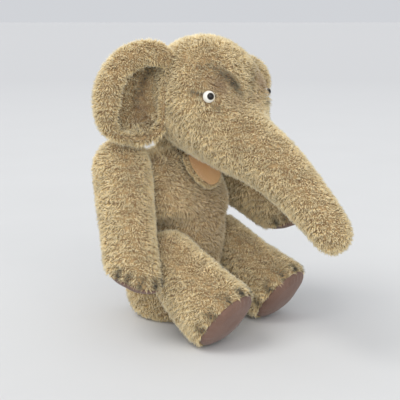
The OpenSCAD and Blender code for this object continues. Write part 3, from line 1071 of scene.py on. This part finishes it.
@dataclass
class Torso:
    """The body and its tail."""

    finishes: Finishes
    pile_length: float = 3.7 * MM
    covers: tuple[str, ...] = ("head_cover", "arm_cover_right", "arm_cover_left", "leg_cover_right",
                               "leg_cover_left")
    chest_height: float = 0.62
    ruff_aside: float = 27 * MM
    ruff_behind: float = 10 * MM
    ruff_down: float = 8 * MM
    skin: Optional[Skin] = None
    tail: Optional[Skin] = None

    def build(self, around: Surroundings) -> None:
        """Makes the skins."""
        self.skin = Skin("torso_skin", "torso_cover", "torso", "torso_stuffing", self.covers,
                         give=1.4 * MM)
        self.tail = Skin("tail_skin", "tail", "torso", voxel=0.9 * MM, give=0.0, fine=False)
        around.add(self.skin.sew(self.finishes.backing))
        around.add(self.tail.sew(self.finishes.backing))

    def grow(self, around: Surroundings) -> None:
        """Grows the coats of the chest and belly, of the back, and of the tail."""
        mesh = self.skin.piece.data
        middles = points_of(mesh)[triangles_of(mesh)].mean(1)
        low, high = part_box("torso_cover")
        front = middles[:, 1] < (low.y + high.y) / 2
        chest = np.array([0.0, low.y, (low.z + high.z) * self.chest_height])
        blush = (Smudge(chest, 45 * MM, 0.45),)
        ruff = tuple(Smudge(np.array([x, self.ruff_behind, high.z - self.ruff_down]), 13 * MM, 0.9)
                     for x in (-self.ruff_aside, self.ruff_aside))
        for name, keep, seed in (("torso_pile_front", front, 11), ("torso_pile_back", ~front, 12)):
            coat = Coat(name, self.skin, self.pile_length, seed, comb=(0.1, -0.2, -1.0), blush=blush,
                        tall=ruff)
            coat.grow(around, self.finishes.pile, keep)
        Coat("tail_pile", self.tail, 3.2 * MM, 13, per_mm2=1.5).grow(around, self.finishes.pile)


@dataclass
class Eye:
    """A glossy black dome on a domed white disc, and the painted brow round it."""

    side: Side
    finishes: Finishes
    radius: float = 4.0 * MM
    rim: float = 1.4 * MM
    dome: float = 2.6 * MM
    pupil: float = 2.5 * MM
    pupil_forward: float = 0.9 * MM
    pupil_raised: float = 0.62
    bevel: float = 0.25 * MM
    film: float = 0.05 * MM
    paint: float = 1.0
    lash: float = 0.9
    clearing: float = 4.3 * MM
    place: Optional[DiscFrame] = None
    back: Optional[np.ndarray] = None

    def find(self) -> None:
        """Reads the eye's place from its solids; across points forward, to the trunk."""
        white = points_of(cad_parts[f"eye_white_{self.side.word}"].data)
        black = points_of(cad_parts[f"eye_pupil_{self.side.word}"].data)
        outward = black.mean(0) - white.mean(0)
        found = DiscFrame.of(f"eye_white_{self.side.word}", outward, UP)
        forward = found.across if found.across @ np.array([0.0, -1.0, 0.0]) > 0 else -found.across
        heights = (white - found.centre) @ found.out
        self.back = found.centre + heights.min() * found.out
        self.place = DiscFrame(found.centre, forward, found.up, found.out, found.radius)

    def build(self) -> list[bpy.types.Object]:
        """Turns the two eye pieces.

        The white is a disc with a spherical dome. The black is the part of a small ball that
        stands out of that dome, so both faces of it are turned about the line of the centres.

        Returns:
            The white and the black.
        """
        self.find()
        axes = np.stack([self.place.up, np.cross(self.place.out, self.place.up), self.place.out])
        ball = (self.radius ** 2 + self.dome ** 2) / (2 * self.dome)
        sink = self.rim + self.dome - ball
        edge = math.asin(self.radius / ball)
        slopes = np.linspace(edge, 0, 14)
        crown = np.stack([ball * np.sin(slopes), sink + ball * np.cos(slopes)], 1)
        flat = self.radius - self.bevel
        wall = np.array([(0, 0), (self.radius / 2, 0), (flat, 0), (self.radius, self.bevel)])
        points, faces = lathe(np.concatenate([wall, crown]), self.back, axes, 48)
        white = new_piece(f"eye_disc_{self.side.word}", points, faces, self.finishes.white)
        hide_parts(f"eye_white_{self.side.word}")

        ball_at = self.back + sink * self.place.out
        pupil_at = (self.back + (self.rim + self.dome - self.pupil * self.pupil_raised) * self.place.out
                    + self.pupil_forward * self.place.across)
        apart = float(np.linalg.norm(pupil_at - ball_at))
        line = (pupil_at - ball_at) / apart
        seat = ball + self.film
        reach = (apart ** 2 + seat ** 2 - self.pupil ** 2) / (2 * apart)
        under = np.linspace(0, math.acos(reach / seat), 8)[:-1]
        over = np.linspace(math.acos((reach - apart) / self.pupil), 0, 16)
        lower = np.stack([seat * np.sin(under), seat * np.cos(under)], 1)
        upper = np.stack([self.pupil * np.sin(over), apart + self.pupil * np.cos(over)], 1)
        side = unit(np.cross(line, UP))
        turned = np.stack([side, np.cross(line, side), line])
        points, faces = lathe(np.concatenate([lower, upper]), ball_at, turned, 40)
        black = new_piece(f"eye_dome_{self.side.word}", points, faces, self.finishes.black)
        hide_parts(f"eye_pupil_{self.side.word}")
        for piece in (white, black):
            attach(piece, "head")
            log.info("eye piece %s: %d faces", piece.name, len(piece.data.polygons))
        return [white, black]

    def on_skin(self, skin: Skin, forward: float, up: float) -> np.ndarray:
        """The point of the skin so many millimetres forward of and above the eye's middle."""
        above = self.place.centre + MM * (forward * self.place.across + up * self.place.up)
        return skin.touch(above + 30 * MM * self.place.out, -self.place.out)

    def brow(self, skin: Skin) -> tuple[Smudge, ...]:
        """Airbrushed strokes: an arc over the front of the eye, and a touch at each corner."""
        arc = [(-4, 20.5, 0.3), (0, 20, 0.4), (4, 18.5, 0.5), (8, 16.5, 0.7), (11, 14.5, 0.9),
               (13.5, 12.5, 1.0), (15.5, 10, 1.0), (17.5, 7.5, 0.8), (20, 4, 0.45)]
        corners = [(-10.5, 3.6, 0.8), (-7.5, 3, 0.95), (-5, 2.4, 0.8), (3, -5.2, 0.8), (5.4, -6.8, 0.6)]
        strokes = [Smudge(self.on_skin(skin, x, y), 3.5 * MM, level * self.paint) for x, y, level in arc]
        strokes += [Smudge(self.on_skin(skin, x, y), 1.7 * MM, level) for x, y, level in corners]
        return tuple(strokes)

    def lashes(self) -> tuple[Smudge, ...]:
        """The longer pile that stands round the eye."""
        return (Smudge(self.place.centre, 7.5 * MM, self.lash),)

    def blush(self, skin: Skin) -> tuple[Smudge, ...]:
        """The warm patch between the eye and the brow."""
        patches = [(6, 8, 8, 0.9), (1, 11, 7, 0.6), (17, -2, 7, 0.4)]
        return tuple(Smudge(self.on_skin(skin, x, y), size * MM, level) for x, y, size, level in patches)


@dataclass
class Head:
    """The head with its trunk, ears, eyes and felt-lined mouth."""

    finishes: Finishes
    pile_length: float = 3.2 * MM
    trunk_from: float = 62 * MM
    turn: float = math.radians(12)
    skins: dict[str, Skin] = field(default_factory=dict)
    eyes: list[Eye] = field(default_factory=list)

    def build(self, around: Surroundings) -> None:
        """Makes the skins, the mouth's felt and the eyes."""
        wanted = [
            Skin("head_skin", "head_cover", "head", "head_stuffing", ("torso_cover",), give=0.9 * MM),
            Skin("jaw_skin", "lower_jaw", "head", voxel=0.9 * MM, give=0.0, fill=0.5, fine=False),
            Skin("ear_skin_right", "ear_right", "head", voxel=1.4 * MM, give=0.0, fill=0.3, fine=False),
            Skin("ear_skin_left", "ear_left", "head", voxel=1.4 * MM, give=0.0, fill=0.3, fine=False)]
        for skin in wanted:
            self.skins[skin.name] = skin
            around.add(skin.sew(self.finishes.backing))
        for name, node in (("jaw_felt", "jaw_lining"), ("mouth_felt", "mouth_roof")):
            around.add(FeltPiece(name, node, "head", "peach_felt", voxel=0.6 * MM).cut(self.finishes.mouth))
        overgrown = Eye(Side.LEFT, self.finishes, paint=0.3, lash=1.6, clearing=3.4 * MM)
        self.eyes = [Eye(Side.RIGHT, self.finishes), overgrown]
        for eye in self.eyes:
            for piece in eye.build():
                around.add(piece)
            around.balls.append(Ball(eye.place.centre + 1.2 * MM * eye.place.out, eye.clearing))

    def grow(self, around: Surroundings) -> None:
        """Grows the coats."""
        head = self.skins["head_skin"]
        mesh = head.piece.data
        middles = points_of(mesh)[triangles_of(mesh)].mean(1)
        ahead = np.array([-math.sin(self.turn), -math.cos(self.turn), 0.0])
        trunk = middles @ ahead > self.trunk_from
        right = middles @ np.cross(ahead, UP) > 0
        down = tuple(0.35 * ahead - UP)
        along = tuple(0.8 * ahead - 0.65 * UP)
        paint = sum((eye.brow(head) for eye in self.eyes), ())
        blush = sum((eye.blush(head) for eye in self.eyes), ())
        lashes = sum((eye.lashes() for eye in self.eyes), ())
        for name, keep, comb, seed in (("head_pile_right", ~trunk & right, down, 21),
                                       ("head_pile_left", ~trunk & ~right, down, 22),
                                       ("trunk_pile_right", trunk & right, along, 23),
                                       ("trunk_pile_left", trunk & ~right, along, 24)):
            coat = Coat(name, head, self.pile_length, seed, comb=comb, airbrush=paint, blush=blush,
                        tall=lashes)
            coat.grow(around, self.finishes.pile, keep)
        jaw = Coat("jaw_pile", self.skins["jaw_skin"], 2.2 * MM, 25, comb=(0.0, -0.6, -1.0), per_mm2=1.6)
        jaw.grow(around, self.finishes.pile)
        for side, seed in ((Side.RIGHT, 26), (Side.LEFT, 27)):
            skin = self.skins[f"ear_skin_{side.word}"]
            # The ear's fold and hollow get painted shade, passed on as its airbrush and blush marks.
            shade, blush = self.hollow(skin, side)
            ear = Coat(f"ear_pile_{side.word}", skin, self.pile_length, seed,
                       comb=(0.5 * side.value, 0.2, -0.6), lie=0.45, per_mm2=1.5,
                       airbrush=shade, blush=blush, tall=self.lobe(side))
            ear.grow(around, self.finishes.pile)

    @staticmethod
    def lobe(side: Side) -> tuple[Smudge, ...]:
        """The longer pile at an ear's lower edge."""
        low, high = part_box(f"ear_{side.word}")
        lowest = np.array([(low.x + high.x) / 2 - side.value * 8 * MM, (low.y + high.y) / 2, low.z])
        return (Smudge(lowest, 14 * MM, 0.9),)

    @staticmethod
    def hollow(skin: Skin, side: Side) -> tuple[tuple[Smudge, ...], tuple[Smudge, ...]]:
        """Painted shade along the ear's fold, and painted shade in its hollow."""
        ear = DiscFrame.of(f"ear_{side.word}", np.array([side.value, -0.4, 0.0]), UP)
        # fold: painted shade along the ear's fold
        fold = [(13, 17, 0.8), (12, 14, 1.0), (10, 10, 0.95), (8, 6, 0.85), (5, 1, 0.7), (2, -4, 0.5),
                (0, -9, 0.3)]
        # hollow_shade: painted shade in the ear's hollow
        hollow_shade = [(9, 5, 1.0), (6, -3, 1.0), (4, -11, 1.0), (9, -11, 1.0), (8, -18, 0.9), (3, -18, 0.7)]

        def spot(forward: float, up: float) -> np.ndarray:
            """A point of the ear's front face, given in millimetres from its middle."""
            above = ear.centre + MM * (up * ear.up - forward * side.value * ear.across)
            return skin.touch(above + 40 * MM * ear.out, -ear.out)

        return (tuple(Smudge(spot(x, y), 2.9 * MM, level) for x, y, level in fold),
                tuple(Smudge(spot(x, y), 4.6 * MM, level) for x, y, level in hollow_shade))


@dataclass
class Limb:
    """An arm or a leg, with its felt pad."""

    kind: Kind
    side: Side
    finishes: Finishes
    pile_length: float = 3.5 * MM
    toe_angles: tuple[float, ...] = (-100.0, -66.0, -33.0, 0.0, 33.0, 66.0, 100.0)
    toe_strokes: tuple[tuple[float, float], ...] = ((4.0 * MM, 0.7), (6.5 * MM, 1.0), (9.0 * MM, 0.8))
    skin: Optional[Skin] = None
    disc: Optional[DiscFrame] = None

    @property
    def body(self) -> str:
        """The body that it moves with."""
        return f"{self.kind.value[0]}_{self.side.word}"

    def node(self, part: str) -> str:
        """The name of one of its solids or pieces."""
        return f"{part}_{self.side.word}"

    def build(self, around: Surroundings) -> None:
        """Makes the skin and the pad."""
        limb, end = self.kind.value
        cover, pad = self.node(f"{limb}_cover"), self.node(f"{end}_pad")
        self.skin = Skin(self.node(f"{limb}_skin"), cover, self.body, self.node(f"{limb}_stuffing"),
                         ("torso_cover",), give=0.9 * MM)
        around.add(self.skin.sew(self.finishes.backing))
        outward = points_of(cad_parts[pad].data).mean(0) - points_of(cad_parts[cover].data).mean(0)
        upward = np.array([0.0, -1.0, 0.3]) if self.kind is Kind.ARM else UP
        self.disc = DiscFrame.of(pad, outward, upward)
        felt = FeltPiece(self.node(f"{end}_felt"), pad, self.body, "brown_felt", disc=self.disc)
        around.add(felt.cut(self.finishes.sole))

    def toes(self) -> tuple[Smudge, ...]:
        """Airbrushed toes: short strokes that run back from the pad's upper edge."""
        strokes = []
        for angle in self.toe_angles:
            turn = math.radians(angle)
            away = math.cos(turn) * self.disc.up + math.sin(turn) * self.disc.across
            for step, level in self.toe_strokes:
                outside = self.disc.centre + 60 * MM * away - step * self.disc.out
                strokes.append(Smudge(self.skin.touch(outside, -away), 2.8 * MM, level))
        return tuple(strokes)

    def grow(self, around: Surroundings) -> None:
        """Grows the coat, combed towards the pad."""
        comb = tuple(0.55 * self.disc.out - 0.6 * UP)
        seed = 31 + 2 * list(Kind).index(self.kind) + list(Side).index(self.side)
        coat = Coat(self.node(f"{self.kind.value[0]}_pile"), self.skin, self.pile_length, seed, comb=comb,
                    airbrush=self.toes())
        coat.grow(around, self.finishes.pile)


def dress_inside(finishes: Finishes) -> None:
    """Gives the solids under the covers their finishes, each by a word of its name."""
    stock = {"disc": finishes.board, "pin": finishes.steel, "wires": finishes.steel,
             "washers": finishes.steel, "stuffing": finishes.straw}
    for name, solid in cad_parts.items():
        for word in stock.keys() & name.split("_"):
            finish_with(solid.data, stock[word])
            log.info("solid %s: %s", name, stock[word].name)


# --------------------------------------------------
# Studio
# --------------------------------------------------


@dataclass(frozen=True)
class Studio:
    """A pale floor, soft light and the camera."""

    azimuth: float = -55.0
    elevation: float = 11.5
    distance: float = 0.68
    aside: float = 0.0135
    height: float = 0.089
    lens: float = 83.25
    floor_size: float = 60.0
    floor_squares: int = 8
    card: tuple[Colour, Colour] = ((0.655, 0.660, 0.660, 1), (0.690, 0.695, 0.695, 1))
    # The far colour is painted shade that greys the distant floor.
    far_card: Colour = (0.578, 0.583, 0.592, 1)
    sky: Colour = (0.640, 0.655, 0.685, 1)

    def axes(self) -> tuple[np.ndarray, np.ndarray, np.ndarray]:
        """The camera's right, the level direction away from it, and its own back."""
        a, e = math.radians(self.azimuth), math.radians(self.elevation)
        right = np.array([math.cos(a), math.sin(a), 0.0])
        away = np.array([-math.sin(a), math.cos(a), 0.0])
        back = np.array([math.sin(a) * math.cos(e), -math.cos(a) * math.cos(e), math.sin(e)])
        return right, away, back

    def floor(self) -> None:
        """A wide sheet of pale, faintly mottled card, with painted shade that greys it far away."""
        bench = Bench("pale_floor")
        far = bench.node("ShaderNodeVectorMath", {"operation": "LENGTH"}, {0: bench.place()}, "Value")
        share = bench.node("ShaderNodeMapRange", {}, {"Value": far, "From Min": 0.2, "From Max": 2.5})
        # Painted shade: the card greys with distance from the middle.
        colour = bench.mix(share, bench.mix(bench.noise(9.0, 3.0), *self.card), self.far_card)
        bench.bump(bench.noise(120.0, 4.0), 0.3 * MM, 0.25)
        squares = np.arange(self.floor_squares)
        row = self.floor_squares + 1
        steps = np.linspace(-0.5, 0.5, row) * self.floor_size
        x, y = np.meshgrid(steps, steps)
        points = np.stack([x.ravel(), y.ravel(), np.zeros(x.size)], 1)
        corner = (squares[:, None] * row + squares).ravel()
        faces = np.stack([corner, corner + 1, corner + row + 1, corner + row], 1)
        new_piece("floor", points, faces, bench.finish(Base_Color=colour, Roughness=0.85))

    def light(self, name: str, toward: np.ndarray, softness: float, power: float, tint: Vec) -> None:
        """A distant soft lamp.

        Args:
            name: the lamp's name.
            toward: the direction that it shines in.
            softness: the angle that it fills, in degrees.
            power: its power.
            tint: its colour.
        """
        lamp = bpy.data.lights.new(name, "SUN")
        lamp.angle = math.radians(softness)
        lamp.energy = power
        lamp.color = tint
        holder = put(name, lamp)
        holder.rotation_euler = Vector(toward).to_track_quat("-Z", "Y").to_euler()

    def build(self) -> None:
        """Sets out the floor, the lamps, the surrounding light and the camera."""
        right, away, back = self.axes()
        self.floor()
        self.light("key", 0.75 * right + 0.45 * away - 1.2 * UP, 35.0, 1.3, (1.0, 0.985, 0.96))
        self.light("fill", -0.1 * right + 1.0 * away - 0.3 * UP, 70.0, 1.9, (1.0, 0.99, 0.97))
        world = bpy.data.worlds.new("studio")
        world.use_nodes = True
        sky = world.node_tree.nodes["Background"].inputs
        sky["Color"].default_value = self.sky
        sky["Strength"].default_value = 1.0
        bpy.context.scene.world = world
        target = self.aside * right + self.height * UP
        lens = bpy.data.cameras.new("camera")
        lens.lens = self.lens
        lens.clip_end = 20.0
        camera = put("camera", lens)
        camera.location = Vector(target + self.distance * back)
        camera.rotation_euler = Vector(-back).to_track_quat("-Z", "Y").to_euler()
        bpy.context.scene.camera = camera
        bpy.context.scene.view_settings.view_transform = "Standard"


def write_sizes() -> None:
    """Brings the scene's view layer up to date."""
    bpy.context.view_layer.update()


def main() -> None:
    """Builds the elephant and the studio."""
    logging.basicConfig(level=logging.INFO, format="%(message)s")
    Studio().build()
    finishes = Finishes()
    around = Surroundings()
    parts = [Torso(finishes), Head(finishes)]
    parts += [Limb(kind, side, finishes) for kind in Kind for side in Side]
    for part in parts:
        part.build(around)
    for part in parts:
        part.grow(around)
    dress_inside(finishes)
    write_sizes()


if __name__ == "__main__":
    main()
